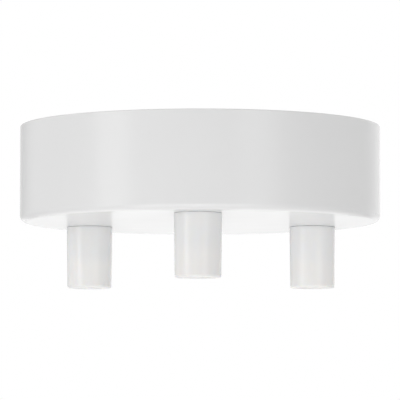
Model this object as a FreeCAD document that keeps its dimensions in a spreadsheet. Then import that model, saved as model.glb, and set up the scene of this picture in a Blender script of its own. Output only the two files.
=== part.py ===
import FreeCAD, Part
import os

import Sketcher

# Ceiling rose with three cord outlets, as it hangs under a ceiling.
# The ceiling is the plane z = 0 and +Z points into it. The canopy is a pressed steel cup
# that hides a bracket, an earth clamp and a terminal block. Below each outlet hole sits
# a moulded cord grip: a barrel that screws up a hollow stem and closes a slotted collet.

OUTLETS = ("front", "right", "left")
OUTLET_STEP = 360.0 / len(OUTLETS)
POLES = ("left", "middle", "right")
COLLET_SLITS = 4
HEXAGON_SIDES = 6
PARTS_FOLDER = "parts"

# How far a cut runs past the face that it opens, in millimetres
PAST = 1.0

# Driving dimensions, in millimetres and degrees
SIZES = {
    # Canopy: a drawn steel cup, open at the top
    "canopy_diameter": 120.0,
    "canopy_height": 32.0,
    "canopy_wall": 1.0,
    "canopy_bend": 1.1,
    "rim_break": 0.25,
    # Outlets: holes for the hollow stems, evenly spaced on one circle inside the canopy's wall
    "outlet_inset": 16.3,
    "outlet_start": -90.0,
    "outlet_hole": 10.4,
    # Hollow stem of each grip, with its washer and lock nut inside the canopy
    "stem_diameter": 10.0,
    "stem_bore": 8.0,
    "stem_below": 9.0,
    "stem_spare": 2.0,
    "stem_chamfer": 0.5,
    "washer_diameter": 18.0,
    "washer_thickness": 1.0,
    "nut_flats": 14.0,
    "nut_thickness": 3.0,
    "nut_bevel": 0.8,
    # Barrel of each grip, the white piece that shows
    "barrel_top_diameter": 15.55,
    "barrel_end_diameter": 15.05,
    "barrel_length": 20.7,
    "barrel_seat_gap": 0.05,
    "barrel_top_break": 0.12,
    "barrel_end_round": 0.7,
    "barrel_thread_depth": 10.0,
    "barrel_cone_end": 8.4,
    "barrel_end_wall": 3.6,
    "cord_hole": 7.5,
    "cord_hole_lead": 0.5,
    # Collet inside each barrel
    "collet_bore": 7.0,
    "collet_gap": 0.3,
    "collet_ring": 1.8,
    "collet_slit": 1.0,
    # Fits
    "thread_clearance": 0.05,
    "cone_clearance": 0.1,
    "screw_clearance": 0.05,
    # Bracket: a folded steel strip with two ears and an earth tab
    "bracket_width": 16.0,
    "bracket_thickness": 1.5,
    "bracket_bend": 1.0,
    "ear_gap": 0.1,
    "ear_drop": 17.0,
    "ear_corner": 4.0,
    "slot_spacing": 70.0,
    "slot_length": 14.0,
    "slot_width": 4.5,
    "tab_offset": 21.5,
    "tab_width": 10.0,
    "tab_drop": 14.0,
    "tab_corner": 2.0,
    # Side screws: countersunk, flush with the canopy's wall
    "side_screw_level": 10.0,
    "side_screw_diameter": 3.0,
    "side_screw_hole": 3.4,
    "side_screw_length": 6.0,
    "side_head_diameter": 5.5,
    "side_head_land": 0.3,
    "side_head_sink": 0.1,
    "cross_reach": 1.3,
    "cross_width": 0.7,
    "cross_depth": 1.1,
    "screw_tip": 0.4,
    # Terminal block: three poles side by side, with a screw tower at each end of a pole
    "pole_pitch": 9.0,
    "pole_width": 7.0,
    "pole_length": 17.0,
    "pole_height": 6.5,
    "pole_round": 1.5,
    "web_width": 2.4,
    "web_height": 4.0,
    "boss_diameter": 5.0,
    "tower_diameter": 5.6,
    "tower_height": 13.0,
    "tower_offset": 4.6,
    "tower_bore": 4.0,
    "sleeve_diameter": 4.9,
    "sleeve_bore": 3.2,
    "sleeve_length": 15.0,
    "terminal_screw_diameter": 2.5,
    "terminal_head_diameter": 3.7,
    "terminal_head_height": 1.8,
    "terminal_screw_slot": 0.7,
    "terminal_screw_lift": 0.9,
    # Screws that hold the block to the bracket
    "block_screw_diameter": 3.0,
    "block_screw_hole": 3.3,
    "block_head_diameter": 5.4,
    "block_head_height": 1.9,
    "block_head_bevel": 0.5,
    # Earth clamp on the bracket's tab
    "earth_level": 8.0,
    "earth_screw_diameter": 4.0,
    "earth_screw_length": 8.0,
    "earth_head_diameter": 7.0,
    "earth_head_height": 2.6,
    "earth_head_bevel": 0.8,
    "earth_clamp_side": 9.4,
    "earth_clamp_thickness": 0.8,
    "earth_clamp_lip": 0.9,
    "earth_washer_diameter": 9.0,
    "earth_washer_thickness": 0.8,
    "earth_nut_flats": 7.0,
    "earth_nut_thickness": 3.2,
    "earth_nut_bevel": 0.4,
}

# Heights and radii that several pieces share, as expressions over the sheet
CANOPY_RADIUS = "(size.canopy_diameter / 2)"
OUTLET_REACH = f"({CANOPY_RADIUS} - size.outlet_inset)"
STEM_RADIUS = "(size.stem_diameter / 2)"
THREAD_RADIUS = f"({STEM_RADIUS} + size.thread_clearance)"
NUT_SEAT = "(size.canopy_wall + size.washer_thickness)"
STEM_TOP = f"({NUT_SEAT} + size.nut_thickness + size.stem_spare)"
BARREL_TOP = "(-size.barrel_seat_gap)"
BARREL_END = "(-size.barrel_seat_gap - size.barrel_length)"
BARREL_CONE_TOP = "(-size.barrel_seat_gap - size.barrel_thread_depth)"
BARREL_FLOOR = f"({BARREL_END} + size.barrel_end_wall)"
COLLET_TOP = "(-size.stem_below - size.collet_gap)"
COLLET_END = f"({BARREL_FLOOR} + size.cone_clearance)"
SIDE_HEAD_RADIUS = "(size.side_head_diameter / 2)"
SIDE_SCREW_RADIUS = "(size.side_screw_diameter / 2)"
SIDE_HOLE_RADIUS = "(size.side_screw_hole / 2)"
RECESS_RADIUS = f"({SIDE_HEAD_RADIUS} + size.side_head_land + size.side_head_sink + size.screw_clearance)"
RECESS_FLOOR = f"({CANOPY_RADIUS} - {RECESS_RADIUS} + {SIDE_HOLE_RADIUS})"
DIMPLE_END = f"({RECESS_FLOOR} - size.canopy_wall)"
EAR_FACE = f"({DIMPLE_END} - size.ear_gap)"
EAR_INSIDE = f"({EAR_FACE} - size.bracket_thickness)"
OUTER_BEND = "(size.bracket_bend + size.bracket_thickness)"
TAB_INSIDE = "(size.bracket_width / 2 + size.bracket_bend)"
TAB_OUTSIDE = f"({TAB_INSIDE} + size.bracket_thickness)"
SLEEVE_LEVEL = "(-size.pole_height / 2)"

doc = FreeCAD.newDocument("ceiling_rose")


# Sheet and expressions

def make_sheet():
    """Put every driving dimension in one sheet, under its own alias."""
    table = doc.addObject("Spreadsheet::Sheet", "size")
    for row, (alias, number) in enumerate(SIZES.items(), start=1):
        table.set(f"A{row}", alias)
        table.set(f"B{row}", str(number))
        table.setAlias(f"B{row}", alias)
    doc.recompute()
    return table


sheet = make_sheet()


def value(expression):
    """Work out an expression over the sheet as a plain number."""
    return float(sheet.evalExpression(expression.replace("size.", "")))


# Sketches

def origin_feature(body, role):
    """Find one of a body's own origin planes or axes."""
    return next(item for item in body.Origin.OriginFeatures if item.Role == role)


def new_body(label):
    """Start a body whose label is also the name of its file."""
    body = doc.addObject("PartDesign::Body", label)
    body.Label = label
    return body


def new_sketch(body, name, plane, height=None):
    """Start a sketch on one of the body's origin planes, or at a height above it."""
    sketch = body.newObject("Sketcher::SketchObject", name)
    sketch.AttachmentSupport = (origin_feature(body, plane), [""])
    sketch.MapMode = "FlatFace"
    if height is not None:
        sketch.setExpression("AttachmentOffset.Base.z", height)
    return sketch


def bind(sketch, constraint, expression):
    """Add a constraint and tie its value to the sheet."""
    index = sketch.addConstraint(constraint)
    sketch.setExpression(f"Constraints[{index}]", expression)


def pin_point(sketch, geometry, point, place):
    """Tie one point of a sketch to a place, given as two expressions."""
    for kind, expression in zip(("DistanceX", "DistanceY"), place):
        bind(sketch, Sketcher.Constraint(kind, -1, 1, geometry, point, value(expression)), expression)


def add_outline(sketch, corners):
    """Draw a closed outline through corners, each a pair of expressions."""
    places = [FreeCAD.Vector(value(across), value(up), 0) for across, up in corners]
    count = len(corners)
    lines = [sketch.addGeometry(Part.LineSegment(places[i], places[(i + 1) % count]))
             for i in range(count)]
    for i in range(count):
        sketch.addConstraint(Sketcher.Constraint("Coincident", lines[i], 2, lines[(i + 1) % count], 1))
    for line, corner in zip(lines, corners):
        pin_point(sketch, line, 1, corner)


def add_rectangle(sketch, left, right, low, high):
    """Draw an upright rectangle between four expressions."""
    add_outline(sketch, [(left, low), (right, low), (right, high), (left, high)])


def add_circle(sketch, across, up, radius):
    """Draw a circle from expressions for its centre and radius."""
    centre = FreeCAD.Vector(value(across), value(up), 0)
    circle = sketch.addGeometry(Part.Circle(centre, FreeCAD.Vector(0, 0, 1), value(radius)))
    pin_point(sketch, circle, 3, (across, up))
    bind(sketch, Sketcher.Constraint("Radius", circle, value(radius)), radius)


def add_slot(sketch, across, length, width):
    """Draw a slot along the sketch's first axis: two half circles joined by tangent lines."""
    radius = value(f"{width} / 2")
    reach = value(f"({length} - {width}) / 2")
    middle = value(across)
    ends = []
    for side, start in ((1, -90.0), (-1, 90.0)):
        circle = Part.Circle(FreeCAD.Vector(middle + side * reach, 0, 0), FreeCAD.Vector(0, 0, 1), radius)
        first = FreeCAD.Units.Quantity(f"{start} deg").getValueAs("rad").Value
        last = FreeCAD.Units.Quantity(f"{start + 180.0} deg").getValueAs("rad").Value
        ends.append(sketch.addGeometry(Part.ArcOfCircle(circle, first, last)))
    right, left = ends
    top = sketch.addGeometry(Part.LineSegment(
        FreeCAD.Vector(middle + reach, radius, 0), FreeCAD.Vector(middle - reach, radius, 0)))
    bottom = sketch.addGeometry(Part.LineSegment(
        FreeCAD.Vector(middle - reach, -radius, 0), FreeCAD.Vector(middle + reach, -radius, 0)))
    for first, second in ((right, top), (top, left), (left, bottom), (bottom, right)):
        sketch.addConstraint(Sketcher.Constraint("Tangent", first, 2, second, 1))
    pin_point(sketch, right, 3, (f"{across} + ({length} - {width}) / 2", "0"))
    pin_point(sketch, left, 3, (f"{across} - ({length} - {width}) / 2", "0"))
    bind(sketch, Sketcher.Constraint("Radius", right, radius), f"{width} / 2")


# Features

def set_expressions(feature, expressions):
    """Tie several properties of a feature to the sheet."""
    for name, expression in expressions.items():
        feature.setExpression(name, expression)


def pad(body, sketch, name, length, symmetric=False, reverse=False):
    """Extrude a sketch into solid material."""
    feature = body.newObject("PartDesign::Pad", name)
    feature.Profile = sketch
    feature.setExpression("Length", length)
    feature.SideType = "Symmetric" if symmetric else "One side"
    feature.Reversed = reverse
    return feature


def pocket(body, sketch, name, length=None, symmetric=False, reverse=False):
    """Cut a sketch out of the solid, to a length or right through."""
    feature = body.newObject("PartDesign::Pocket", name)
    feature.Profile = sketch
    feature.SideType = "Symmetric" if symmetric else "One side"
    feature.Reversed = reverse
    if length is None:
        feature.Type = "ThroughAll"
    else:
        feature.setExpression("Length", length)
    return feature


def turn(body, name, corners, kind="Revolution", across=None):
    """Turn an outline in the XZ plane about the body's Z axis, or about a level line.

    kind is Revolution to add material or Groove to cut it. across is the height of the
    level axis, and without it the outline turns about the upright axis.
    """
    sketch = new_sketch(body, f"{name}_outline", "XZ_Plane")
    add_outline(sketch, corners)
    axis = "V_Axis"
    if across is not None:
        level = value(across)
        line = sketch.addGeometry(
            Part.LineSegment(FreeCAD.Vector(0, level, 0), FreeCAD.Vector(1, level, 0)), True)
        pin_point(sketch, line, 1, ("0", across))
        pin_point(sketch, line, 2, ("1", across))
        axis = "Axis0"
    feature = body.newObject(f"PartDesign::{kind}", name)
    feature.Profile = sketch
    feature.ReferenceAxis = (sketch, [axis])
    feature.Angle = 360.0
    return feature


def repeat(body, name, kind, originals, **settings):
    """Add a pattern or mirror of features and make it the body's result."""
    feature = body.newObject(f"PartDesign::{kind}", name)
    feature.Originals = originals
    for setting, content in settings.items():
        if isinstance(content, str) and setting != "Mode":
            feature.setExpression(setting, content)
        else:
            setattr(feature, setting, content)
    body.Tip = feature
    return feature


def around_z(body, name, originals, count):
    """Repeat features evenly round the body's Z axis."""
    axis = (origin_feature(body, "Z_Axis"), [""])
    return repeat(body, name, "PolarPattern", originals, Axis=axis, Angle=360.0, Occurrences=count)


def mirrored(body, name, originals, plane="YZ_Plane"):
    """Repeat features on the other side of one of the body's planes."""
    return repeat(body, name, "Mirrored", originals, MirrorPlane=(origin_feature(body, plane), [""]))


def along_x(body, name, originals, length, count):
    """Repeat features evenly along the body's X axis."""
    axis = (origin_feature(body, "X_Axis"), [""])
    return repeat(body, name, "LinearPattern", originals, Direction=axis, Length=length,
                  Occurrences=count)


def ease_edges(body, name, kind, test, amount):
    """Fillet or chamfer the edges of the body that pass a test."""
    doc.recompute()
    base = body.Tip
    edges = [f"Edge{number}" for number, edge in enumerate(base.Shape.Edges, start=1) if test(edge)]
    if not edges:
        raise RuntimeError(f"{body.Label}: no edge for {name}")
    feature = body.newObject(f"PartDesign::{kind}", name)
    feature.Base = (base, edges)
    feature.setExpression("Radius" if kind == "Fillet" else "Size", amount)
    body.Tip = feature
    return feature


def near(first, second):
    """Say whether two lengths are the same for picking edges."""
    return abs(first - second) < 1e-4


def ring_edge(radius, height):
    """Pick circular edges about an upright axis, by radius and height."""
    wanted_radius = value(radius)
    wanted_height = value(height)

    def test(edge):
        return (isinstance(edge.Curve, Part.Circle) and near(edge.Curve.Radius, wanted_radius)
                and near(edge.Curve.Center.z, wanted_height)
                and near(abs(edge.Curve.Axis.z), 1.0))
    return test


def straight_edge(direction, **places):
    """Pick straight edges along X, Y or Z that lie at the given distances from the planes."""
    wanted = {axis: value(expression) for axis, expression in places.items()}

    def test(edge):
        if not isinstance(edge.Curve, Part.Line):
            return False
        along = edge.Curve.Direction
        if not near(abs(getattr(along, direction)), 1.0):
            return False
        middle = edge.CenterOfMass
        return all(near(abs(getattr(middle, axis)), abs(place)) for axis, place in wanted.items())
    return test


def place(body, across, back, up, axis=None, angle=0.0):
    """Put a body at a place bound to the sheet, turned about an axis if one is given."""
    turned = FreeCAD.Rotation(axis, angle) if axis else FreeCAD.Rotation()
    body.Placement = FreeCAD.Placement(FreeCAD.Vector(), turned)
    set_expressions(body, {
        "Placement.Base.x": across, "Placement.Base.y": back, "Placement.Base.z": up})


# Canopy

def make_canopy():
    """Pressed steel cup with three outlet holes and two dimples for the side screws."""
    body = new_body("canopy")
    base = "(-size.canopy_height)"
    floor = "(size.canopy_wall - size.canopy_height)"
    inside = f"({CANOPY_RADIUS} - size.canopy_wall)"
    level = "(-size.side_screw_level)"
    turn(body, "cup", [("0", base), (CANOPY_RADIUS, base), (CANOPY_RADIUS, "0"), (inside, "0"),
                       (inside, floor), ("0", floor)])
    ease_edges(body, "outer_bend", "Fillet", ring_edge(CANOPY_RADIUS, base),
               "size.canopy_bend + size.canopy_wall")
    ease_edges(body, "inner_bend", "Fillet", ring_edge(inside, floor), "size.canopy_bend")
    ease_edges(body, "outer_rim_break", "Chamfer", ring_edge(CANOPY_RADIUS, "0"), "size.rim_break")
    ease_edges(body, "inner_rim_break", "Chamfer", ring_edge(inside, "0"), "size.rim_break")

    sketch = new_sketch(body, "outlet_outline", "XY_Plane")
    add_circle(sketch, f"{OUTLET_REACH} * cos(size.outlet_start)",
               f"{OUTLET_REACH} * sin(size.outlet_start)", "size.outlet_hole / 2")
    outlet = pocket(body, sketch, "outlet_hole")
    around_z(body, "outlet_holes", [outlet], len(OUTLETS))

    dimple_edge = f"({SIDE_HOLE_RADIUS} + size.canopy_wall * (sqrt(2) - 1))"
    root = f"({CANOPY_RADIUS} - size.canopy_wall / 2)"
    dimple = turn(body, "dimple", [
        (DIMPLE_END, level),
        (DIMPLE_END, f"{level} + {dimple_edge}"),
        (root, f"{level} + {dimple_edge} + {root} - {DIMPLE_END}"),
        (root, level)], across=level)
    outside = f"({CANOPY_RADIUS} + {PAST})"
    beyond = f"({DIMPLE_END} - {PAST})"
    recess = turn(body, "recess", [
        (outside, level),
        (outside, f"{level} + {RECESS_RADIUS} + {PAST}"),
        (RECESS_FLOOR, f"{level} + {SIDE_HOLE_RADIUS}"),
        (beyond, f"{level} + {SIDE_HOLE_RADIUS}"),
        (beyond, level)], kind="Groove", across=level)
    mirrored(body, "both_dimples", [dimple, recess])


# Bracket and its fasteners

def make_bracket():
    """Folded strip: flat against the ceiling, ears down to the side screws, an earth tab."""
    body = new_body("bracket")
    drop = "(-size.ear_drop)"
    under = "(-size.bracket_thickness)"
    half = "(size.bracket_width / 2)"
    sketch = new_sketch(body, "strip_outline", "XZ_Plane")
    add_outline(sketch, [
        (f"-{EAR_FACE}", drop), (f"-{EAR_FACE}", "0"), (EAR_FACE, "0"), (EAR_FACE, drop),
        (EAR_INSIDE, drop), (EAR_INSIDE, under), (f"-{EAR_INSIDE}", under), (f"-{EAR_INSIDE}", drop)])
    pad(body, sketch, "strip", "size.bracket_width", symmetric=True)
    ease_edges(body, "ear_outer_bends", "Fillet", straight_edge("y", x=EAR_FACE, z="0"), OUTER_BEND)
    ease_edges(body, "ear_inner_bends", "Fillet", straight_edge("y", x=EAR_INSIDE, z=under),
               "size.bracket_bend")
    ease_edges(body, "ear_corners", "Fillet", straight_edge("x", y=half, z=drop), "size.ear_corner")

    left = "(size.tab_offset - size.tab_width / 2)"
    right = "(size.tab_offset + size.tab_width / 2)"
    sketch = new_sketch(body, "lug_outline", "XY_Plane")
    add_rectangle(sketch, left, right, f"{half} - size.bracket_thickness", TAB_OUTSIDE)
    pad(body, sketch, "lug", "size.bracket_thickness", reverse=True)
    sketch = new_sketch(body, "tab_outline", "XY_Plane")
    add_rectangle(sketch, left, right, TAB_INSIDE, TAB_OUTSIDE)
    pad(body, sketch, "tab", "size.tab_drop", reverse=True)
    ease_edges(body, "tab_outer_bend", "Fillet", straight_edge("x", y=TAB_OUTSIDE, z="0"), OUTER_BEND)
    ease_edges(body, "tab_inner_bend", "Fillet", straight_edge("x", y=TAB_INSIDE, z=under),
               "size.bracket_bend")
    ease_edges(body, "tab_corners", "Fillet", straight_edge("y", z="-size.tab_drop"), "size.tab_corner")

    sketch = new_sketch(body, "slot_outline", "XY_Plane")
    add_slot(sketch, "size.slot_spacing / 2", "size.slot_length", "size.slot_width")
    slot = pocket(body, sketch, "slot")
    mirrored(body, "slots", [slot])
    sketch = new_sketch(body, "block_hole_outline", "XY_Plane")
    add_circle(sketch, "size.pole_pitch / 2", "0",
               "size.block_screw_diameter / 2 + size.screw_clearance")
    hole = pocket(body, sketch, "block_hole")
    mirrored(body, "block_holes", [hole])
    sketch = new_sketch(body, "ear_hole_outline", "YZ_Plane")
    add_circle(sketch, "0", "-size.side_screw_level", f"{SIDE_SCREW_RADIUS} + size.screw_clearance")
    pocket(body, sketch, "ear_holes", symmetric=True)
    sketch = new_sketch(body, "earth_hole_outline", "XZ_Plane")
    add_circle(sketch, "size.tab_offset", "-size.earth_level",
               "size.earth_screw_diameter / 2 + size.screw_clearance")
    pocket(body, sketch, "earth_hole", symmetric=True)


def cut_cross(body, height, reverse=False):
    """Cut the cross recess of a screw's head, down from a height or up if reversed."""
    reach = "size.cross_reach"
    half = "(size.cross_width / 2)"
    corners = []
    for across, back in ((1, 0), (0, 1), (-1, 0), (0, -1)):
        for side in (-1, 1):
            corners.append((f"{reach} * ({across}) + {half} * ({-back * side})",
                            f"{reach} * ({back}) + {half} * ({across * side})"))
        corners.append((f"{half} * ({across - back})", f"{half} * ({back + across})"))
    sketch = new_sketch(body, "cross_outline", "XY_Plane", height)
    add_outline(sketch, corners)
    pocket(body, sketch, "cross", "size.cross_depth", reverse=reverse)


def make_side_screws():
    """Two countersunk screws that hold the canopy to the bracket's ears."""
    for name, side in (("right", 1), ("left", -1)):
        body = new_body(f"side_screw_{name}")
        cone = f"(-size.side_head_land - {SIDE_HEAD_RADIUS} + {SIDE_SCREW_RADIUS})"
        end = "(-size.side_screw_length)"
        turn(body, "screw", [
            ("0", "0"), (SIDE_HEAD_RADIUS, "0"), (SIDE_HEAD_RADIUS, "-size.side_head_land"),
            (SIDE_SCREW_RADIUS, cone), (SIDE_SCREW_RADIUS, end), ("0", end)])
        ease_edges(body, "tip", "Chamfer", ring_edge(SIDE_SCREW_RADIUS, end), "size.screw_tip")
        cut_cross(body, "0")
        place(body, f"({side}) * ({CANOPY_RADIUS} - size.side_head_sink)", "0",
              "-size.side_screw_level", FreeCAD.Vector(0, 1, 0), 90.0 * side)


def turned_nut(body, flats, thickness, bevel, hole):
    """Hexagon nut standing on the XY plane, with its upper corners bevelled."""
    corner = f"({flats} / 2 / cos(30))"
    sketch = new_sketch(body, "hexagon", "XY_Plane")
    turns = [side * 360.0 / HEXAGON_SIDES for side in range(HEXAGON_SIDES)]
    add_outline(sketch, [(f"{corner} * cos({angle})", f"{corner} * sin({angle})") for angle in turns])
    add_circle(sketch, "0", "0", hole)
    pad(body, sketch, "nut", thickness)
    outside = f"({corner} + {PAST})"
    slope = f"({bevel} / ({corner} - {flats} / 2))"
    turn(body, "bevel", [
        (f"{flats} / 2", thickness), (outside, thickness),
        (outside, f"{thickness} - ({outside} - {flats} / 2) * {slope}")], kind="Groove")


def make_earth_clamp():
    """Screw, lipped clamp plate, plain washer and nut on the bracket's tab."""
    radius = "(size.earth_screw_diameter / 2)"
    back = FreeCAD.Vector(1, 0, 0)
    head_seat = f"({TAB_OUTSIDE} + size.earth_clamp_thickness)"

    body = new_body("earth_clamp")
    half = "(size.earth_clamp_side / 2)"
    lip = "(size.earth_clamp_thickness + size.earth_clamp_lip)"
    sketch = new_sketch(body, "plate_outline", "XZ_Plane")
    add_outline(sketch, [
        (f"-{half}", "0"), (half, "0"), (half, lip), (f"{half} - size.earth_clamp_thickness", lip),
        (f"{half} - size.earth_clamp_thickness", "size.earth_clamp_thickness"),
        (f"size.earth_clamp_thickness - {half}", "size.earth_clamp_thickness"),
        (f"size.earth_clamp_thickness - {half}", lip), (f"-{half}", lip)])
    pad(body, sketch, "plate", "size.earth_clamp_side", symmetric=True)
    sketch = new_sketch(body, "hole_outline", "XY_Plane")
    add_circle(sketch, "0", "0", f"{radius} + size.screw_clearance")
    pocket(body, sketch, "hole", symmetric=True)
    place(body, "size.tab_offset", TAB_OUTSIDE, "-size.earth_level", back, -90.0)

    body = new_body("earth_screw")
    head = "(size.earth_head_diameter / 2)"
    end = "(-size.earth_screw_length)"
    turn(body, "screw", [
        ("0", "size.earth_head_height"), ("0", end), (radius, end), (radius, "0"), (head, "0"),
        (head, "size.earth_head_height")])
    ease_edges(body, "head_bevel", "Chamfer", ring_edge(head, "size.earth_head_height"),
               "size.earth_head_bevel")
    ease_edges(body, "tip", "Chamfer", ring_edge(radius, end), "size.screw_tip")
    cut_cross(body, "size.earth_head_height")
    place(body, "size.tab_offset", head_seat, "-size.earth_level", back, -90.0)

    body = new_body("earth_washer")
    turn(body, "washer", [
        (f"{radius} + size.screw_clearance", "0"), ("size.earth_washer_diameter / 2", "0"),
        ("size.earth_washer_diameter / 2", "size.earth_washer_thickness"),
        (f"{radius} + size.screw_clearance", "size.earth_washer_thickness")])
    place(body, "size.tab_offset", TAB_INSIDE, "-size.earth_level", back, 90.0)

    body = new_body("earth_nut")
    turned_nut(body, "size.earth_nut_flats", "size.earth_nut_thickness", "size.earth_nut_bevel",
               f"{radius} + size.screw_clearance")
    place(body, "size.tab_offset", f"{TAB_INSIDE} - size.earth_washer_thickness",
          "-size.earth_level", back, 90.0)


# Terminal block

def make_terminal_block():
    """Moulded block of three poles: each has a round-edged channel and two screw towers."""
    body = new_body("terminal_block")
    first = "(-size.pole_pitch)"
    half = "(size.pole_width / 2)"
    sketch = new_sketch(body, "web_outline", "XY_Plane")
    add_rectangle(sketch, "-size.pole_pitch", "size.pole_pitch", "-size.web_width / 2",
                  "size.web_width / 2")
    pad(body, sketch, "web", "size.web_height", reverse=True)
    sketch = new_sketch(body, "boss_outline", "XY_Plane")
    for side in (-1, 1):
        add_circle(sketch, f"({side}) * size.pole_pitch / 2", "0", "size.boss_diameter / 2")
    pad(body, sketch, "bosses", "size.pole_height", reverse=True)

    sketch = new_sketch(body, "pole_outline", "XZ_Plane")
    round_start = "(size.pole_round - size.pole_height)"
    flat = f"({half} - size.pole_round)"
    add_outline(sketch, [
        (f"{first} - {half}", "0"), (f"{first} - {half}", round_start),
        (f"{first} - {flat}", "-size.pole_height"), (f"{first} + {flat}", "-size.pole_height"),
        (f"{first} + {half}", round_start), (f"{first} + {half}", "0")])
    pole = pad(body, sketch, "pole", "size.pole_length", symmetric=True)
    sketch = new_sketch(body, "tower_outline", "XY_Plane")
    for side in (-1, 1):
        add_circle(sketch, first, f"({side}) * size.tower_offset", "size.tower_diameter / 2")
    towers = pad(body, sketch, "towers", "size.tower_height", reverse=True)
    sketch = new_sketch(body, "channel_outline", "XZ_Plane")
    add_circle(sketch, first, SLEEVE_LEVEL, "size.sleeve_diameter / 2 + size.screw_clearance")
    channel = pocket(body, sketch, "channel", symmetric=True)
    sketch = new_sketch(body, "shaft_outline", "XY_Plane", SLEEVE_LEVEL)
    for side in (-1, 1):
        add_circle(sketch, first, f"({side}) * size.tower_offset", "size.tower_bore / 2")
    shafts = pocket(body, sketch, "shafts", "size.tower_height")
    along_x(body, "poles", [pole, towers, channel, shafts], "2 * size.pole_pitch", len(POLES))

    sketch = new_sketch(body, "fixing_outline", "XY_Plane")
    for side in (-1, 1):
        add_circle(sketch, f"({side}) * size.pole_pitch / 2", "0", "size.block_screw_hole / 2")
    pocket(body, sketch, "fixing_holes")
    place(body, "0", "0", "-size.bracket_thickness")


def make_terminal_sleeves():
    """Brass sleeves that the conductors are clamped in, one in each pole."""
    for step, name in enumerate(POLES, start=-1):
        body = new_body(f"terminal_sleeve_{name}")
        sketch = new_sketch(body, "ring_outline", "XY_Plane")
        add_circle(sketch, "0", "0", "size.sleeve_diameter / 2")
        add_circle(sketch, "0", "0", "size.sleeve_bore / 2")
        pad(body, sketch, "ring", "size.sleeve_length", symmetric=True)
        sketch = new_sketch(body, "screw_hole_outline", "XZ_Plane")
        for side in (-1, 1):
            add_circle(sketch, "0", f"({side}) * size.tower_offset",
                       "size.terminal_screw_diameter / 2 + size.screw_clearance")
        pocket(body, sketch, "screw_holes")
        place(body, f"({step}) * size.pole_pitch", "0", f"{SLEEVE_LEVEL} - size.bracket_thickness",
              FreeCAD.Vector(1, 0, 0), -90.0)


def make_terminal_screws():
    """Six slotted screws, backed off so that the sleeves are open, as one group."""
    body = new_body("terminal_screws")
    centre = "(-size.pole_pitch)"
    shank = "(size.terminal_screw_diameter / 2)"
    head = "(size.terminal_head_diameter / 2)"
    tip = f"({SLEEVE_LEVEL} - size.sleeve_bore / 2 - size.screw_clearance)"
    seat = f"({SLEEVE_LEVEL} - size.sleeve_diameter / 2 - size.terminal_screw_lift)"
    end = f"({seat} - size.terminal_head_height)"
    sketch = new_sketch(body, "shank_outline", "XY_Plane", tip)
    add_circle(sketch, centre, "size.tower_offset", shank)
    shanks = pad(body, sketch, "shank", f"{tip} - {seat}", reverse=True)
    sketch = new_sketch(body, "head_outline", "XY_Plane", seat)
    add_circle(sketch, centre, "size.tower_offset", head)
    heads = pad(body, sketch, "head", "size.terminal_head_height", reverse=True)
    sketch = new_sketch(body, "slot_outline", "XY_Plane", f"{end} + size.terminal_screw_slot")
    add_rectangle(sketch, f"{centre} - {head} - {PAST}", f"{centre} + {head} + {PAST}",
                  "size.tower_offset - size.terminal_screw_slot / 2",
                  "size.tower_offset + size.terminal_screw_slot / 2")
    slots = pocket(body, sketch, "slot", f"size.terminal_screw_slot + {PAST}")
    group = body.newObject("PartDesign::MultiTransform", "six_screws")
    group.Originals = [shanks, heads, slots]
    across = body.newObject("PartDesign::Mirrored", "both_ends")
    across.MirrorPlane = (origin_feature(body, "XZ_Plane"), [""])
    row = body.newObject("PartDesign::LinearPattern", "three_poles")
    row.Direction = (origin_feature(body, "X_Axis"), [""])
    row.setExpression("Length", "2 * size.pole_pitch")
    row.Occurrences = len(POLES)
    group.Transformations = [across, row]
    body.Tip = group
    place(body, "0", "0", "-size.bracket_thickness")


def make_block_screws():
    """Two pan-head screws through the block's bosses into the bracket."""
    radius = "(size.block_screw_diameter / 2)"
    head = "(size.block_head_diameter / 2)"
    top = "(size.pole_height + size.bracket_thickness)"
    for name, side in (("right", 1), ("left", -1)):
        body = new_body(f"block_screw_{name}")
        turn(body, "screw", [
            ("0", "-size.block_head_height"), (head, "-size.block_head_height"), (head, "0"),
            (radius, "0"), (radius, top), ("0", top)])
        ease_edges(body, "head_bevel", "Chamfer", ring_edge(head, "-size.block_head_height"),
                   "size.block_head_bevel")
        cut_cross(body, "-size.block_head_height", reverse=True)
        place(body, f"({side}) * size.pole_pitch / 2", "0", "-size.bracket_thickness - size.pole_height")


# Cord grips

def make_grip(name, angle):
    """One cord grip below its outlet: stem, washer, lock nut, collet and barrel."""
    across = f"{OUTLET_REACH} * cos({angle})"
    back = f"{OUTLET_REACH} * sin({angle})"
    seats = {make_stem: "0", make_washer: "size.canopy_wall", make_lock_nut: NUT_SEAT,
             make_collet: "0", make_barrel: "0"}
    for make, seat in seats.items():
        place(make(name), across, back, f"{seat} - size.canopy_height")


def make_stem(name):
    """Hollow threaded stem, through the canopy's base."""
    body = new_body(f"stem_{name}")
    bore = "(size.stem_bore / 2)"
    turn(body, "tube", [(bore, "-size.stem_below"), (STEM_RADIUS, "-size.stem_below"),
                        (STEM_RADIUS, STEM_TOP), (bore, STEM_TOP)])
    for end, height in (("lower", "-size.stem_below"), ("upper", STEM_TOP)):
        ease_edges(body, f"{end}_lead", "Chamfer", ring_edge(STEM_RADIUS, height), "size.stem_chamfer")
    return body


def make_washer(name):
    """Plain washer on the canopy's floor."""
    body = new_body(f"washer_{name}")
    turn(body, "ring", [
        ("size.outlet_hole / 2", "0"), ("size.washer_diameter / 2", "0"),
        ("size.washer_diameter / 2", "size.washer_thickness"),
        ("size.outlet_hole / 2", "size.washer_thickness")])
    return body


def make_lock_nut(name):
    """Thin hexagon nut that clamps the stem to the canopy."""
    body = new_body(f"lock_nut_{name}")
    turned_nut(body, "size.nut_flats", "size.nut_thickness", "size.nut_bevel", THREAD_RADIUS)
    return body


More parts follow.
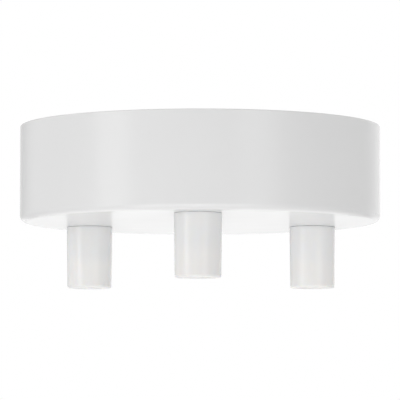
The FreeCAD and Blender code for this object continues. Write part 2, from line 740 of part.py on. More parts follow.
def make_collet(name):
    """Tapered collet with four slits, which closes on the cord in the barrel's cone."""
    body = new_body(f"collet_{name}")
    bore = "(size.collet_bore / 2)"
    shoulder = f"({THREAD_RADIUS} - size.cone_clearance)"
    turn(body, "cone", [
        (bore, COLLET_TOP), (bore, COLLET_END),
        ("size.barrel_cone_end / 2 - size.cone_clearance", COLLET_END),
        (shoulder, BARREL_CONE_TOP), (shoulder, COLLET_TOP)])
    sketch = new_sketch(body, "slit_outline", "XZ_Plane")
    add_rectangle(sketch, "size.collet_bore / 4", f"{THREAD_RADIUS} + {PAST}",
                  f"{COLLET_END} - {PAST}", f"{COLLET_TOP} - size.collet_ring")
    slit = pocket(body, sketch, "slit", "size.collet_slit", symmetric=True)
    around_z(body, "slits", [slit], COLLET_SLITS)
    return body


def make_barrel(name):
    """Smooth tapered barrel: threaded above, coned inside, with the cord's hole below."""
    body = new_body(f"barrel_{name}")
    top = "(size.barrel_top_diameter / 2)"
    end = "(size.barrel_end_diameter / 2)"
    hole = "(size.cord_hole / 2)"
    turn(body, "barrel", [
        (THREAD_RADIUS, BARREL_TOP), (top, BARREL_TOP), (end, BARREL_END), (hole, BARREL_END),
        (hole, BARREL_FLOOR), ("size.barrel_cone_end / 2", BARREL_FLOOR),
        (THREAD_RADIUS, BARREL_CONE_TOP)])
    ease_edges(body, "top_break", "Chamfer", ring_edge(top, BARREL_TOP), "size.barrel_top_break")
    ease_edges(body, "end_round", "Fillet", ring_edge(end, BARREL_END), "size.barrel_end_round")
    ease_edges(body, "cord_lead", "Chamfer", ring_edge(hole, BARREL_END), "size.cord_hole_lead")
    ease_edges(body, "thread_lead", "Chamfer", ring_edge(THREAD_RADIUS, BARREL_TOP),
               "size.stem_chamfer")
    return body


# Checks and files

def check_and_write():
    """Stop on any failed object or bad solid, then write one file for each piece."""
    doc.recompute()
    for item in doc.Objects:
        if {"Invalid", "Error"} & set(item.State):
            raise RuntimeError(f"{item.Label} failed: {item.State}")
    bodies = [item for item in doc.Objects if item.TypeId == "PartDesign::Body"]
    for body in bodies:
        if body.Shape.isNull() or not body.Shape.isValid() or not body.Shape.Solids:
            raise RuntimeError(f"{body.Label} has no valid shape")
    os.makedirs(PARTS_FOLDER, exist_ok=True)
    for body in bodies:
        body.Shape.exportStep(f"{PARTS_FOLDER}/{body.Label}.step")
        box = body.Shape.BoundBox
        print(f"{body.Label}: {len(body.Shape.Solids)} solid, {body.Shape.Volume:.1f} mm3, "
              f"z {box.ZMin:.2f} to {box.ZMax:.2f}")


make_canopy()
make_bracket()
make_side_screws()
make_earth_clamp()
make_terminal_block()
make_terminal_sleeves()
make_terminal_screws()
make_block_screws()
for outlet_number, outlet_name in enumerate(OUTLETS):
    make_grip(outlet_name, f"(size.outlet_start + {outlet_number * OUTLET_STEP})")
check_and_write()
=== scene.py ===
"""Finish and setting of a ceiling rose with three cord grips, round its packed construction.

Lengths are in metres, in the part's own frame. The ceiling is the plane z = 0 and +Z points up
into it, and the front outlet hangs towards -Y. The camera stands a little below the rose.
"""
import logging
import math
from collections.abc import Callable, Iterable
from dataclasses import dataclass
from enum import Enum

import bmesh
import bpy
from mathutils import Matrix, Vector


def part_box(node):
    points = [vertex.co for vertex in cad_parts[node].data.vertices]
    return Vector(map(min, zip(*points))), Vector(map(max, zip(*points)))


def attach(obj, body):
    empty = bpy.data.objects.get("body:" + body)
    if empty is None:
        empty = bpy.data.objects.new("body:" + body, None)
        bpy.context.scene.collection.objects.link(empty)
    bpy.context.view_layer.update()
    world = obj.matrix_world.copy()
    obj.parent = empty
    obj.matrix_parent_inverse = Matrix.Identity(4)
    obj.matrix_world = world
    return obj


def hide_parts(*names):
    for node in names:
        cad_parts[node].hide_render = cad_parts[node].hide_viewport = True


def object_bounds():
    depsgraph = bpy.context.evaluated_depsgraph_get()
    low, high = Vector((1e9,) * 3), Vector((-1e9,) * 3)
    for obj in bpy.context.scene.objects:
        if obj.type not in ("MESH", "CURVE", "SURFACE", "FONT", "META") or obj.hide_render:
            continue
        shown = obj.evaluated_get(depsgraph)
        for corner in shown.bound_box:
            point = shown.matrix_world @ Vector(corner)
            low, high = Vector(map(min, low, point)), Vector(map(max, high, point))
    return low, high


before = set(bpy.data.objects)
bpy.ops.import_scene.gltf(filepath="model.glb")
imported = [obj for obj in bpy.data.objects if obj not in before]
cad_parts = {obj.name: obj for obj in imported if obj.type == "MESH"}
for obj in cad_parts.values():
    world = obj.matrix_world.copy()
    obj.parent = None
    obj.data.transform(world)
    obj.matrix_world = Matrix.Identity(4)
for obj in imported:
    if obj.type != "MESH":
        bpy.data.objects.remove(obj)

LOG = logging.getLogger("ceiling_rose")
CAD_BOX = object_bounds()
MM = 0.001

Colour = tuple[float, float, float, float]
Triple = tuple[float, float, float]
Edges = list[bmesh.types.BMEdge]

WHITE: Colour = (1.0, 1.0, 1.0, 1.0)
# Points closer than this are one point, and lie at one height.
TOUCH = 0.001 * MM
# How near to a cut a point has to be to lie on it.
CUT_REACH = 0.0001 * MM
# The ends between which the values of soft noise lie.
CLOUD_LOW, CLOUD_HIGH = 0.15, 0.85
# Where a mix node has its first input, its second input and its result, by its type of data.
MIX_SOCKETS = {"FLOAT": (2, 3, 0), "RGBA": (6, 7, 2)}


class Outlet(Enum):
    """The three outlets of the canopy, by the side that they hang on."""

    FRONT = "front"
    RIGHT = "right"
    LEFT = "left"


class Body(Enum):
    """The bodies of the construction that new pieces ride on."""

    HOUSING = "housing"


# Shader graphs

class Graph:
    """A node tree with short calls that place and join nodes."""

    def __init__(self, tree: bpy.types.NodeTree) -> None:
        """Keep the tree that the calls work on.

        Args:
            tree: The node tree of a material, a world or a group.
        """
        self.tree = tree

    def add(self, kind: str, values: dict[str, object] | None = None,
            **settings: object) -> bpy.types.Node:
        """Place a node.

        Args:
            kind: The node's type name.
            values: Input names with a number, a colour or another node's output each.
            settings: Properties of the node itself.

        Returns:
            The new node.
        """
        node = self.tree.nodes.new(kind)
        for name, setting in settings.items():
            setattr(node, name, setting)
        for name, content in (values or {}).items():
            self.feed(node.inputs[name], content)
        return node

    def feed(self, socket: bpy.types.NodeSocket, content: object) -> None:
        """Give an input its value, or join it to another node's output.

        Args:
            socket: The input.
            content: A number, a colour, a vector or an output socket.
        """
        if isinstance(content, bpy.types.NodeSocket):
            self.tree.links.new(content, socket)
        else:
            socket.default_value = content

    def maths(self, operation: str, first: object, second: object = 0.0) -> bpy.types.NodeSocket:
        """Place a math node.

        Args:
            operation: The node's operation.
            first: The first input.
            second: The second input.

        Returns:
            The result's socket.
        """
        node = self.add("ShaderNodeMath", operation=operation)
        self.feed(node.inputs[0], first)
        self.feed(node.inputs[1], second)
        return node.outputs[0]

    def blend(self, kind: str, share: object, first: object,
              second: object) -> bpy.types.NodeSocket:
        """Place a mix node.

        Args:
            kind: The node's type of data, FLOAT or RGBA.
            share: The share of the second input.
            first: The first input.
            second: The second input.

        Returns:
            The result's socket.
        """
        node = self.add("ShaderNodeMix", {"Factor": share}, data_type=kind)
        first_place, second_place, result_place = MIX_SOCKETS[kind]
        self.feed(node.inputs[first_place], first)
        self.feed(node.inputs[second_place], second)
        return node.outputs[result_place]


@dataclass(frozen=True)
class Effect:
    """A shader node group that several finishes share."""

    name: str
    inputs: tuple[tuple[str, str], ...]
    output: tuple[str, str]
    wire: Callable[[Graph, bpy.types.Node], bpy.types.NodeSocket]

    def group(self) -> bpy.types.NodeTree:
        """Make the group, or return the one that is there.

        Returns:
            The node group.
        """
        found = bpy.data.node_groups.get(self.name)
        if found:
            return found
        tree = bpy.data.node_groups.new(self.name, "ShaderNodeTree")
        for label, kind in self.inputs:
            tree.interface.new_socket(name=label, in_out="INPUT", socket_type=kind)
        tree.interface.new_socket(name=self.output[0], in_out="OUTPUT", socket_type=self.output[1])
        graph = Graph(tree)
        entry = graph.add("NodeGroupInput")
        leave = graph.add("NodeGroupOutput")
        graph.feed(leave.inputs[self.output[0]], self.wire(graph, entry))
        return tree

    def place(self, graph: Graph, values: dict[str, object]) -> bpy.types.NodeSocket:
        """Place the group in a material.

        Args:
            graph: The material's graph.
            values: The group's input names with their values.

        Returns:
            The group's output socket.
        """
        node = graph.add("ShaderNodeGroup", node_tree=self.group())
        for name, content in values.items():
            graph.feed(node.inputs[name], content)
        return node.outputs[self.output[0]]


def spread_clouds(graph: Graph, entry: bpy.types.Node, detail: float, roughness: float,
                  ends: dict[str, object]) -> bpy.types.NodeSocket:
    """Spread soft clouds of noise evenly between two ends.

    Args:
        graph: The group's graph.
        entry: The group's input node.
        detail: The noise's detail.
        roughness: The noise's roughness.
        ends: The ends, by the map range node's input names. Left out, they are 0 and 1.

    Returns:
        The spread value.
    """
    cloud = graph.add("ShaderNodeTexNoise", {
        "Vector": entry.outputs["Vector"], "Scale": entry.outputs["Scale"],
        "Detail": detail, "Roughness": roughness})
    spread = graph.add("ShaderNodeMapRange", {
        "Value": cloud.outputs["Fac"], "From Min": CLOUD_LOW, "From Max": CLOUD_HIGH, **ends},
        interpolation_type="SMOOTHERSTEP")
    return spread.outputs["Result"]


def wire_two_tones(graph: Graph, entry: bpy.types.Node) -> bpy.types.NodeSocket:
    """Blend two close colours in soft clouds.

    Args:
        graph: The group's graph.
        entry: The group's input node.

    Returns:
        The blended colour.
    """
    share = spread_clouds(graph, entry, detail=3.0, roughness=0.55, ends={})
    return graph.blend("RGBA", share, entry.outputs["Light"], entry.outputs["Dark"])


def wire_uneven_gloss(graph: Graph, entry: bpy.types.Node) -> bpy.types.NodeSocket:
    """Vary roughness softly between two values.

    Args:
        graph: The group's graph.
        entry: The group's input node.

    Returns:
        The roughness.
    """
    return spread_clouds(graph, entry, detail=4.0, roughness=0.6, ends={
        "To Min": entry.outputs["Low"], "To Max": entry.outputs["High"]})


def wire_fine_grain(graph: Graph, entry: bpy.types.Node) -> bpy.types.NodeSocket:
    """Make the height of a fine grain that can be drawn out along one axis.

    Args:
        graph: The group's graph.
        entry: The group's input node.

    Returns:
        The grain's height, from 0 to 1.
    """
    drawn = graph.add("ShaderNodeVectorMath", operation="MULTIPLY")
    graph.feed(drawn.inputs[0], entry.outputs["Vector"])
    graph.feed(drawn.inputs[1], entry.outputs["Stretch"])
    noise = graph.add("ShaderNodeTexNoise", {
        "Vector": drawn.outputs["Vector"], "Scale": entry.outputs["Scale"],
        "Detail": 2.0, "Roughness": 0.5})
    return noise.outputs["Fac"]


def wire_height_fade(graph: Graph, entry: bpy.types.Node) -> bpy.types.NodeSocket:
    """Make a mask that fades in from a height down to a lower one.

    Args:
        graph: The group's graph.
        entry: The group's input node.

    Returns:
        The mask, from 0 at the top to 1 below.
    """
    parts = graph.add("ShaderNodeSeparateXYZ", {"Vector": entry.outputs["Vector"]})
    fade = graph.add("ShaderNodeMapRange", {
        "Value": parts.outputs["Z"], "From Min": entry.outputs["Top"],
        "From Max": entry.outputs["Low"]}, interpolation_type="SMOOTHSTEP")
    return fade.outputs["Result"]


TWO_TONES = Effect("two_tones", (
    ("Vector", "NodeSocketVector"), ("Scale", "NodeSocketFloat"),
    ("Light", "NodeSocketColor"), ("Dark", "NodeSocketColor")),
    ("Colour", "NodeSocketColor"), wire_two_tones)
UNEVEN_GLOSS = Effect("uneven_gloss", (
    ("Vector", "NodeSocketVector"), ("Scale", "NodeSocketFloat"),
    ("Low", "NodeSocketFloat"), ("High", "NodeSocketFloat")),
    ("Roughness", "NodeSocketFloat"), wire_uneven_gloss)
HEIGHT_FADE = Effect("height_fade", (
    ("Vector", "NodeSocketVector"), ("Top", "NodeSocketFloat"), ("Low", "NodeSocketFloat")),
    ("Mask", "NodeSocketFloat"), wire_height_fade)
FINE_GRAIN = Effect("fine_grain", (
    ("Vector", "NodeSocketVector"), ("Scale", "NodeSocketFloat"),
    ("Stretch", "NodeSocketVector")),
    ("Height", "NodeSocketFloat"), wire_fine_grain)


# Finishes

@dataclass(frozen=True)
class Finish:
    """One surface finish: two close tones, a range of roughness and a fine grain."""

    name: str
    light: Colour
    dark: Colour
    tone_scale: float
    smoothest: float
    roughest: float
    gloss_scale: float
    grain_scale: float
    grain_height: float
    grain_stretch: Triple = (1.0, 1.0, 1.0)
    metallic: float = 0.0
    subsurface: float = 0.0
    subsurface_depth: float = 0.6 * MM
    subsurface_reach: Triple = (1.0, 0.85, 0.7)

    def material(self) -> bpy.types.Material:
        """Make the material, or return the one that is there.

        Returns:
            The material.
        """
        label = f"finish_{self.name}"
        found = bpy.data.materials.get(label)
        if found:
            return found
        material = bpy.data.materials.new(label)
        material.use_nodes = True
        graph = Graph(material.node_tree)
        shader = material.node_tree.nodes["Principled BSDF"]
        place = graph.add("ShaderNodeTexCoord").outputs["Object"]
        graph.feed(shader.inputs["Base Color"], self.colour(graph, place))
        graph.feed(shader.inputs["Roughness"], self.roughness(graph, place))
        shader.inputs["Metallic"].default_value = self.metallic
        if self.subsurface:
            shader.inputs["Subsurface Weight"].default_value = self.subsurface
            shader.inputs["Subsurface Scale"].default_value = self.subsurface_depth
            shader.inputs["Subsurface Radius"].default_value = self.subsurface_reach
        height = FINE_GRAIN.place(graph, {
            "Vector": place, "Scale": self.grain_scale, "Stretch": self.grain_stretch})
        bump = graph.add("ShaderNodeBump", {
            "Height": height, "Strength": 1.0, "Distance": self.grain_height})
        graph.feed(shader.inputs["Normal"], bump.outputs["Normal"])
        return material

    def colour(self, graph: Graph, place: bpy.types.NodeSocket) -> bpy.types.NodeSocket:
        """Place the nodes of the finish's colour.

        Args:
            graph: The material's graph.
            place: The socket with the place on the surface.

        Returns:
            The colour's socket.
        """
        return TWO_TONES.place(graph, {
            "Vector": place, "Scale": self.tone_scale, "Light": self.light, "Dark": self.dark})

    def roughness(self, graph: Graph, place: bpy.types.NodeSocket) -> bpy.types.NodeSocket:
        """Place the nodes of the finish's roughness.

        Args:
            graph: The material's graph.
            place: The socket with the place on the surface.

        Returns:
            The roughness's socket.
        """
        return UNEVEN_GLOSS.place(graph, {
            "Vector": place, "Scale": self.gloss_scale,
            "Low": self.smoothest, "High": self.roughest})


@dataclass(frozen=True)
class MouldedFinish(Finish):
    """A glossy moulding with a painted lighter, warmer tone towards its lower end, which stands in
    for light from below; the end itself is matt.
    """

    # Painted light: a lighter, warmer tone blended in towards the lower end, standing in for light
    # from below.
    underlight_tone: Colour = (0.873, 0.863, 0.85, 1.0)
    underlight_top: float = -41.0 * MM
    underlight_low: float = -46.0 * MM
    matt_roughness: float = 0.5
    matt_top: float = -51.8 * MM
    matt_low: float = -52.3 * MM

    def colour(self, graph: Graph, place: bpy.types.NodeSocket) -> bpy.types.NodeSocket:
        """Place the nodes of the moulding's colour, with its painted light from below.

        Args:
            graph: The material's graph.
            place: The socket with the place on the surface.

        Returns:
            The colour's socket.
        """
        # Painted light from below: the colour turns lighter and warmer towards the lower end.
        share = HEIGHT_FADE.place(graph, {
            "Vector": place, "Top": self.underlight_top, "Low": self.underlight_low})
        return graph.blend("RGBA", share, super().colour(graph, place), self.underlight_tone)

    def roughness(self, graph: Graph, place: bpy.types.NodeSocket) -> bpy.types.NodeSocket:
        """Place the nodes of the moulding's roughness, with its matt end.

        Args:
            graph: The material's graph.
            place: The socket with the place on the surface.

        Returns:
            The roughness's socket.
        """
        share = HEIGHT_FADE.place(graph, {
            "Vector": place, "Top": self.matt_top, "Low": self.matt_low})
        return graph.blend("FLOAT", share, super().roughness(graph, place), self.matt_roughness)


CANOPY_PAINT = Finish(
    "canopy_paint", light=(0.825, 0.825, 0.825, 1.0), dark=(0.815, 0.815, 0.815, 1.0),
    tone_scale=28.0, smoothest=0.22, roughest=0.235, gloss_scale=60.0,
    grain_scale=420.0, grain_height=0.002 * MM)
BARREL_PLASTIC = MouldedFinish(
    "barrel_plastic", light=(0.85, 0.85, 0.85, 1.0), dark=(0.84, 0.84, 0.838, 1.0),
    tone_scale=45.0, smoothest=0.09, roughest=0.11, gloss_scale=120.0,
    grain_scale=420.0, grain_height=0.004 * MM, grain_stretch=(1.0, 1.0, 0.25),
    subsurface=0.35, subsurface_depth=1.0 * MM)
ZINC_PLATE = Finish(
    "zinc_plate", light=(0.70, 0.71, 0.73, 1.0), dark=(0.58, 0.59, 0.60, 1.0),
    tone_scale=90.0, smoothest=0.24, roughest=0.42, gloss_scale=160.0,
    grain_scale=900.0, grain_height=0.01 * MM, grain_stretch=(0.06, 1.0, 1.0), metallic=1.0)
THREAD_STEEL = Finish(
    "thread_steel", light=(0.68, 0.69, 0.70, 1.0), dark=(0.52, 0.53, 0.54, 1.0),
    tone_scale=160.0, smoothest=0.24, roughest=0.38, gloss_scale=260.0,
    grain_scale=1500.0, grain_height=0.006 * MM, metallic=1.0)
BRASS = Finish(
    "brass", light=(0.83, 0.66, 0.34, 1.0), dark=(0.70, 0.52, 0.24, 1.0),
    tone_scale=120.0, smoothest=0.22, roughest=0.36, gloss_scale=240.0,
    grain_scale=1400.0, grain_height=0.006 * MM, metallic=1.0)
BLOCK_NYLON = Finish(
    "block_nylon", light=(0.82, 0.81, 0.76, 1.0), dark=(0.77, 0.76, 0.70, 1.0),
    tone_scale=110.0, smoothest=0.42, roughest=0.56, gloss_scale=200.0,
    grain_scale=1300.0, grain_height=0.012 * MM, subsurface=0.25)
COLLET_NYLON = Finish(
    "collet_nylon", light=(0.83, 0.83, 0.80, 1.0), dark=(0.78, 0.78, 0.75, 1.0),
    tone_scale=160.0, smoothest=0.34, roughest=0.46, gloss_scale=260.0,
    grain_scale=1500.0, grain_height=0.008 * MM, subsurface=0.2)
SCREW_WHITE = Finish(
    "screw_white", light=(0.82, 0.82, 0.815, 1.0), dark=(0.77, 0.77, 0.765, 1.0),
    tone_scale=300.0, smoothest=0.3, roughest=0.42, gloss_scale=400.0,
    grain_scale=1800.0, grain_height=0.01 * MM)


def dress(node: str, finish: Finish) -> None:
    """Give a node of the construction its finish.

    Args:
        node: The node's name.
        finish: The finish.
    """
    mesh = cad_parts[node].data
    mesh.materials.clear()
    mesh.materials.append(finish.material())
    LOG.info("%s wears %s", node, finish.name)


# New meshes

@dataclass(frozen=True)
class Thread:
    """A metric outside thread: its pitch, its tooth as shares of the pitch and its turns."""

    major_radius: float
    pitch: float
    steps: int = 40
    depth_share: float = 0.6134
    root_share: float = 0.25
    crest_share: float = 0.125
    turns_below: int = 2
    spare_turns: int = 3

    @property
    def root_radius(self) -> float:
        """Radius at the bottom of the groove."""
        return self.major_radius - self.depth_share * self.pitch

    def wind(self, mesh: bmesh.types.BMesh, low: float, high: float) -> None:
        """Wind the tooth about the Z axis, a turn past both ends.

        Args:
            mesh: The mesh that takes the thread.
            low: Height of the lower end.
            high: Height of the upper end.
        """
        flank = (1.0 - self.root_share - self.crest_share) / 2.0
        rises = (0.0, self.root_share, self.root_share + flank,
                 self.root_share + flank + self.crest_share, 1.0)
        radii = (self.root_radius, self.root_radius, self.major_radius, self.major_radius,
                 self.root_radius)
        start = low - self.turns_below * self.pitch
        points = [mesh.verts.new((radius, 0.0, start + rise * self.pitch))
                  for radius, rise in zip(radii, rises)]
        edges = [mesh.edges.new(pair) for pair in zip(points, points[1:])]
        turns = math.ceil((high - low) / self.pitch) + self.spare_turns
        bmesh.ops.spin(mesh, geom=points + edges, cent=(0.0, 0.0, 0.0), axis=(0.0, 0.0, 1.0),
                       dvec=(0.0, 0.0, self.pitch / self.steps), angle=turns * math.tau,
                       steps=turns * self.steps, use_merge=False, use_duplicate=False)
        bmesh.ops.remove_doubles(mesh, verts=mesh.verts, dist=TOUCH)

    def lead_in(self, mesh: bmesh.types.BMesh, low: float, high: float) -> None:
        """Turn both ends of the thread down to its root in a 45 degree lead.

        Args:
            mesh: The mesh that holds the thread.
            low: Height of the lower end.
            high: Height of the upper end.
        """
        for vertex in mesh.verts:
            depth = max(0.0, min(vertex.co.z - low, high - vertex.co.z))
            radius = vertex.co.xy.length
            allowed = self.root_radius + depth
            if radius > allowed:
                vertex.co.xy *= allowed / radius


def cut_level(mesh: bmesh.types.BMesh, height: float, drop_upper: bool) -> None:
    """Cut a mesh at a height and drop one side of it.

    Args:
        mesh: The mesh.
        height: Height of the cut.
        drop_upper: Whether what is above the cut goes.
    """
    bmesh.ops.bisect_plane(
        mesh, geom=mesh.verts[:] + mesh.edges[:] + mesh.faces[:], dist=CUT_REACH,
        plane_co=(0.0, 0.0, height), plane_no=(0.0, 0.0, 1.0),
        clear_outer=drop_upper, clear_inner=not drop_upper)


def close_in(mesh: bmesh.types.BMesh, edge_loop: Edges, radius: float) -> Edges:
    """Run a level face from a loop about the Z axis in to a radius.

    Args:
        mesh: The mesh.
        edge_loop: The open edges that the face starts from.
        radius: Radius of the face's inner edge.

    Returns:
        The inner edges.
    """
    made = bmesh.ops.extrude_edge_only(mesh, edges=edge_loop)["geom"]
    for vertex in (item for item in made if isinstance(item, bmesh.types.BMVert)):
        vertex.co.xy *= radius / vertex.co.xy.length
    return [item for item in made if isinstance(item, bmesh.types.BMEdge)]


def open_edges(mesh: bmesh.types.BMesh, height: float) -> Edges:
    """Find the open edges of a mesh at a height.

    Args:
        mesh: The mesh.
        height: The height.

    Returns:
        The edges.
    """
    return [edge for edge in mesh.edges if edge.is_boundary
            and all(abs(vertex.co.z - height) < TOUCH for vertex in edge.verts)]


def finish_piece(mesh: bmesh.types.BMesh, name: str, finish: Finish,
                 body: Body, move: Matrix, replaced: Iterable[str] = (),
                 sharp: float = 32.0) -> bpy.types.Object:
    """Make a finished piece of a mesh: shaded, dressed, in place and riding on its body.

    Args:
        mesh: The mesh, about its own axis.
        name: Name of the piece.
        finish: Its finish.
        body: The body that it rides on.
        move: Where the piece goes in the part's frame.
        replaced: Nodes that the piece stands for.
        sharp: Angle in degrees past which an edge is sharp.

    Returns:
        The piece.
    """
    bmesh.ops.recalc_face_normals(mesh, faces=mesh.faces)
    bmesh.ops.transform(mesh, matrix=move, verts=mesh.verts)
    data = bpy.data.meshes.new(name)
    mesh.to_mesh(data)
    mesh.free()
    for face in data.polygons:
        face.use_smooth = True
    data.set_sharp_from_angle(angle=math.radians(sharp))
    data.materials.append(finish.material())
    piece = bpy.data.objects.new(name, data)
    bpy.context.scene.collection.objects.link(piece)
    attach(piece, body.value)
    if replaced:
        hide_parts(*replaced)
    LOG.info("%s has %d faces", name, len(data.polygons))
    return piece


# Sub-assemblies

@dataclass
class Canopy:
    """The pressed cup and the two screws that hold it."""

    node: str = "canopy"
    screws: tuple[str, ...] = ("side_screw_right", "side_screw_left")

    def build(self) -> None:
        """Dress the cup and its screws."""
        dress(self.node, CANOPY_PAINT)
        for screw in self.screws:
            dress(screw, SCREW_WHITE)


@dataclass
class Bracket:
    """What the cup hides: the strip, the earth clamp and the terminal block."""

    plated: tuple[str, ...] = ("bracket", "earth_washer", "earth_nut", "terminal_screws",
                               "block_screw_right", "block_screw_left")
    brass: tuple[str, ...] = ("earth_clamp", "earth_screw", "terminal_sleeve_left",
                              "terminal_sleeve_middle", "terminal_sleeve_right")
    moulded: tuple[str, ...] = ("terminal_block",)

    def build(self) -> None:
        """Dress every piece by what it is made of."""
        for nodes, finish in ((self.plated, ZINC_PLATE), (self.brass, BRASS),
                              (self.moulded, BLOCK_NYLON)):
            for node in nodes:
                dress(node, finish)


@dataclass
class CordGrip:
    """One cord grip: a threaded stem with its washer and nut, a collet and a barrel."""

    outlet: Outlet
    bore_radius: float = 4.0 * MM
    pitch: float = 1.0 * MM

    def build(self) -> None:
        """Build the stem's thread and dress the other pieces."""
        side = self.outlet.value
        self.build_stem(f"stem_{side}")
        dress(f"washer_{side}", ZINC_PLATE)
        dress(f"lock_nut_{side}", ZINC_PLATE)
        dress(f"collet_{side}", COLLET_NYLON)
        dress(f"barrel_{side}", BARREL_PLASTIC)

    def build_stem(self, node: str) -> None:
        """Build the hollow stem with its real thread, in the plain stem's place.

        Args:
            node: The plain stem's node.
        """
        low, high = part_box(node)
        thread = Thread(major_radius=(high.x - low.x) / 2.0, pitch=self.pitch)
        mesh = bmesh.new()
        thread.wind(mesh, low.z, high.z)
        thread.lead_in(mesh, low.z, high.z)
        cut_level(mesh, low.z, drop_upper=False)
        cut_level(mesh, high.z, drop_upper=True)
        mouths = [edge for height in (low.z, high.z) for edge in
                  close_in(mesh, open_edges(mesh, height), self.bore_radius)]
        bmesh.ops.bridge_loops(mesh, edges=mouths)
        middle = (low + high) / 2.0
        finish_piece(mesh, f"{node}_thread", THREAD_STEEL, Body.HOUSING,
                     Matrix.Translation((middle.x, middle.y, 0.0)), replaced=(node,))


# Setting

@dataclass(frozen=True)
class Softbox:
    """A soft lamp, by its bearing from the rose."""

    name: str
    bearing: float
    rise: float
    distance: float
    width: float
    height: float
    power: float

    def build(self, aim: Vector) -> None:
        """Place the lamp.

        Args:
            aim: The point that it faces.
        """
        lamp = bpy.data.lights.new(self.name, "AREA")
        lamp.shape = "RECTANGLE"
        lamp.size = self.width
        lamp.size_y = self.height
        lamp.energy = self.power
        holder = bpy.data.objects.new(self.name, lamp)
        bpy.context.scene.collection.objects.link(holder)
        bearing = math.radians(self.bearing)
        rise = math.radians(self.rise)
        back = Vector((math.sin(bearing) * math.cos(rise), -math.cos(bearing) * math.cos(rise),
                       math.sin(rise)))
        holder.location = aim + back * self.distance
        holder.rotation_euler = (-back).to_track_quat("-Z", "Y").to_euler()
        holder.visible_camera = False


# Tall lamps at the camera's sides, one low in front, three low behind and one overhead.
LAMPS = (
    Softbox("left_softbox", bearing=-54.0, rise=4.0, distance=0.9, width=0.36,
            height=0.9, power=1.5),
    Softbox("right_softbox", bearing=37.0, rise=4.0, distance=0.9, width=0.4,
            height=0.9, power=1.0),
    Softbox("front_softbox", bearing=-1.0, rise=-33.0, distance=1.0, width=1.4,
            height=0.5, power=5.5),
    Softbox("back_softbox", bearing=180.0, rise=-65.0, distance=1.0, width=1.2,
            height=1.2, power=4.3),
    Softbox("low_back_softbox", bearing=180.0, rise=-45.0, distance=1.0, width=1.2,
            height=0.5, power=0.85),
    Softbox("far_back_softbox", bearing=180.0, rise=-25.0, distance=1.0, width=1.2,
            height=0.5, power=0.28),
    Softbox("top_softbox", bearing=0.0, rise=65.0, distance=1.2, width=0.9,
            height=0.9, power=1.6))

# The wall's grey by its bearing in degrees from straight behind the rose.
WALLS = (
    (-180.0, 0.30), (-150.0, 0.30), (-120.0, 0.48), (-90.0, 0.86), (-70.0, 1.0),
    (-55.0, 1.09), (-42.0, 0.82), (-30.0, 0.53), (-20.0, 0.55), (-10.0, 1.15),
    (0.0, 1.14), (20.0, 1.14), (30.0, 1.14), (42.0, 0.92), (55.0, 0.80),
    (70.0, 0.88), (90.0, 0.68), (120.0, 0.40), (150.0, 0.30), (180.0, 0.30))


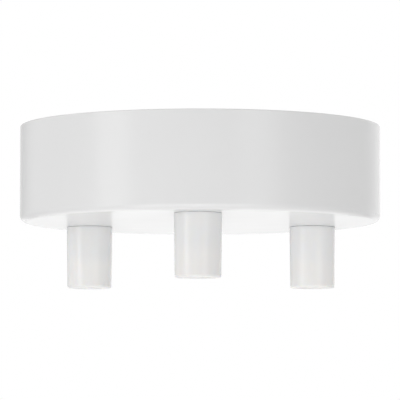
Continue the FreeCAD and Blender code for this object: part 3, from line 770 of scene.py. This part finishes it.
@dataclass
class Setting:
    """Floor, backdrop, lamps and camera round the rose."""

    aim: Vector
    floor_level: float = -2.2
    floor_side: float = 16.0
    floor_grey: Colour = (0.45, 0.45, 0.45, 1.0)
    floor_roughness: float = 0.9
    floor_whiteness: float = 0.85
    camera_distance: float = 1.1
    camera_bearing: float = 0.814
    camera_level: float = -110.0 * MM
    camera_pitch: float = 4.45
    camera_lens: float = 297.6
    sensor: float = 36.0

    def build(self) -> None:
        """Build every part of the setting."""
        self.build_floor()
        self.build_backdrop()
        self.build_lamps()
        self.build_camera()

    def build_floor(self) -> None:
        """Lay a plain pale floor, well below the rose."""
        mesh = bmesh.new()
        bmesh.ops.create_grid(mesh, x_segments=1, y_segments=1, size=self.floor_side / 2.0,
                              matrix=Matrix.Translation((0.0, 0.0, self.floor_level)))
        data = bpy.data.meshes.new("floor")
        mesh.to_mesh(data)
        mesh.free()
        floor = bpy.data.objects.new("floor", data)
        bpy.context.scene.collection.objects.link(floor)
        data.materials.append(self.floor_material())

    def floor_material(self) -> bpy.types.Material:
        """Make the floor's grey, which the camera sees as nearly white.

        Returns:
            The material.
        """
        material = bpy.data.materials.new("floor_pale")
        material.use_nodes = True
        graph = Graph(material.node_tree)
        shader = material.node_tree.nodes["Principled BSDF"]
        shader.inputs["Base Color"].default_value = self.floor_grey
        shader.inputs["Roughness"].default_value = self.floor_roughness
        glow = graph.add("ShaderNodeEmission", {"Color": WHITE, "Strength": 1.0})
        path = graph.add("ShaderNodeLightPath")
        shown = graph.maths("MULTIPLY", path.outputs["Is Camera Ray"], self.floor_whiteness)
        blend = graph.add("ShaderNodeMixShader", {"Fac": shown})
        graph.feed(blend.inputs[1], shader.outputs[0])
        graph.feed(blend.inputs[2], glow.outputs[0])
        leave = material.node_tree.nodes["Material Output"]
        graph.feed(leave.inputs["Surface"], blend.outputs[0])
        return material

    def build_backdrop(self) -> None:
        """Make the studio's walls: white to the camera, and of several greys to other rays."""
        world = bpy.data.worlds.new("studio")
        bpy.context.scene.world = world
        world.use_nodes = True
        graph = Graph(world.node_tree)
        shader = world.node_tree.nodes["Background"]
        heading = graph.add("ShaderNodeTexCoord").outputs["Generated"]
        parts = graph.add("ShaderNodeSeparateXYZ", {"Vector": heading})
        bearing = graph.maths("ARCTAN2", parts.outputs["X"], parts.outputs["Y"])
        share = graph.add("ShaderNodeMapRange", {
            "Value": bearing, "From Min": -math.pi, "From Max": math.pi})
        ramp = graph.add("ShaderNodeValToRGB", {"Fac": share.outputs["Result"]})
        self.fill_ramp(ramp.color_ramp)
        path = graph.add("ShaderNodeLightPath")
        graph.feed(shader.inputs["Color"], graph.blend(
            "RGBA", path.outputs["Is Camera Ray"], ramp.outputs["Color"], WHITE))
        shader.inputs["Strength"].default_value = 1.0

    @staticmethod
    def fill_ramp(ramp: bpy.types.ColorRamp) -> None:
        """Set the greys of the walls.

        Args:
            ramp: The colour ramp, from half a turn left to half a turn right.
        """
        while len(ramp.elements) < len(WALLS):
            ramp.elements.new(0.5)
        for stop, (bearing, grey) in zip(ramp.elements, WALLS):
            stop.position = (bearing + 180.0) / 360.0
            stop.color = (grey, grey, grey, 1.0)

    def build_lamps(self) -> None:
        """Place the lamps round the rose."""
        for lamp in LAMPS:
            lamp.build(self.aim)

    def build_camera(self) -> None:
        """Stand the camera in front of the rose, a little below it."""
        data = bpy.data.cameras.new("camera")
        data.sensor_width = self.sensor
        data.lens = self.camera_lens
        camera = bpy.data.objects.new("camera", data)
        bpy.context.scene.collection.objects.link(camera)
        bearing = math.radians(self.camera_bearing)
        camera.location = (math.sin(bearing) * self.camera_distance,
                           -math.cos(bearing) * self.camera_distance, self.camera_level)
        camera.rotation_euler = (math.radians(90.0 + self.camera_pitch), 0.0, bearing)
        bpy.context.scene.camera = camera


def main() -> None:
    """Build the rose from its sub-assemblies, then the setting."""
    logging.basicConfig(level=logging.INFO, format="%(name)s: %(message)s")
    bpy.context.scene.view_settings.view_transform = "Standard"
    Canopy().build()
    Bracket().build()
    for outlet in Outlet:
        CordGrip(outlet).build()
    low, high = CAD_BOX
    Setting(aim=(low + high) / 2.0).build()


if __name__ == "__main__":
    main()
